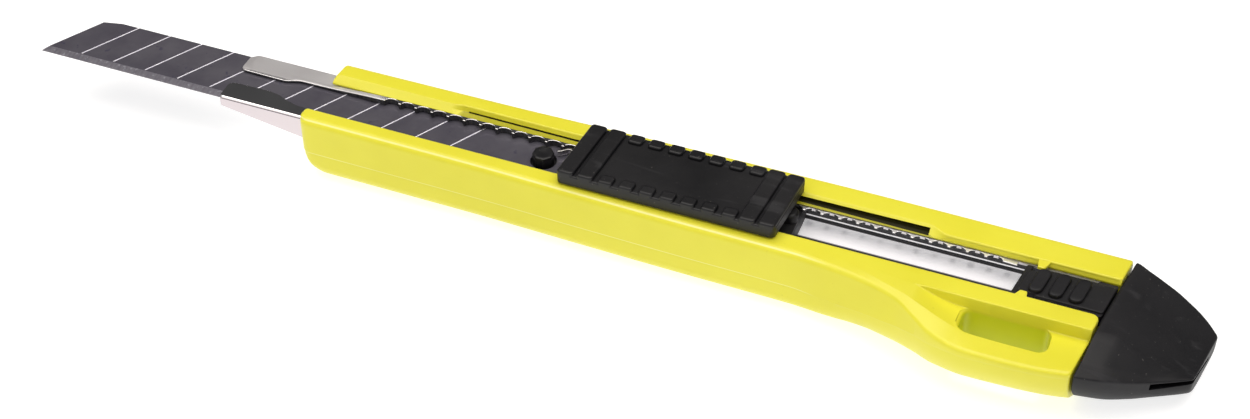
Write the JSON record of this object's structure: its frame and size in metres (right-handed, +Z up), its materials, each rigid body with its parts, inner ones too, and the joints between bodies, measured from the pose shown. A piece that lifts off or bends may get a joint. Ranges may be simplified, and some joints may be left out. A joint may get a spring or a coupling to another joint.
{
  "type": "snap-off utility knife",
  "caption": "Slim snap-off utility knife: yellow plastic handle with a hanging slot, steel blade rail, ribbed black thumb slider, scored blade and black end cap.",
  "frame": {"origin": "centre of the bounding box in X and Y, on the flat underside of the handle", "axes": "+X along the handle from the blade's tip towards the end cap, +Z up through the thumb slider, +Y towards the straight side of the handle, away from the hanging slot"},
  "size_m": [0.1608, 0.0216, 0.0125],
  "materials": {
    "yellow_plastic": "satin injection-moulded yellow",
    "black_plastic": "satin black",
    "rail_steel": "bright rolled stainless sheet",
    "blade_steel": "oiled dark carbon steel",
    "spring_steel": "spring strip"
  },
  "bodies": {
    "handle": {"handle_body": "yellow_plastic", "blade_rail": "rail_steel"},
    "slider": {"thumb_slider": "black_plastic", "blade_carrier": "black_plastic", "snap_off_blade": "blade_steel"},
    "spring": {"detent_spring": "spring_steel"},
    "cap": {"end_cap": "black_plastic"},
    "latch": {"latch_tongue": "black_plastic"}
  },
  "joints": [
    {"name": "slider_travel", "type": "slide", "parent": "handle", "child": "slider", "axis": [-1, 0, 0], "range_m": [-0.028, 0.03]},
    {"name": "detent_flex", "type": "hinge", "parent": "slider", "child": "spring", "pos_m": [0.0068, 0.00453, 0.00905], "axis": [0, 0, 1], "range_deg": [0, 3.5], "stiffness_Nm_per_rad": 0.005},
    {"name": "cap_pull", "type": "slide", "parent": "handle", "child": "cap", "axis": [1, 0, 0], "range_m": [0, 0.014]},
    {"name": "latch_press", "type": "hinge", "parent": "cap", "child": "latch", "pos_m": [0.0668, 0.00282, 0.00855], "axis": [0, -1, 0], "range_deg": [0, 3], "stiffness_Nm_per_rad": 0.005}
  ]
}
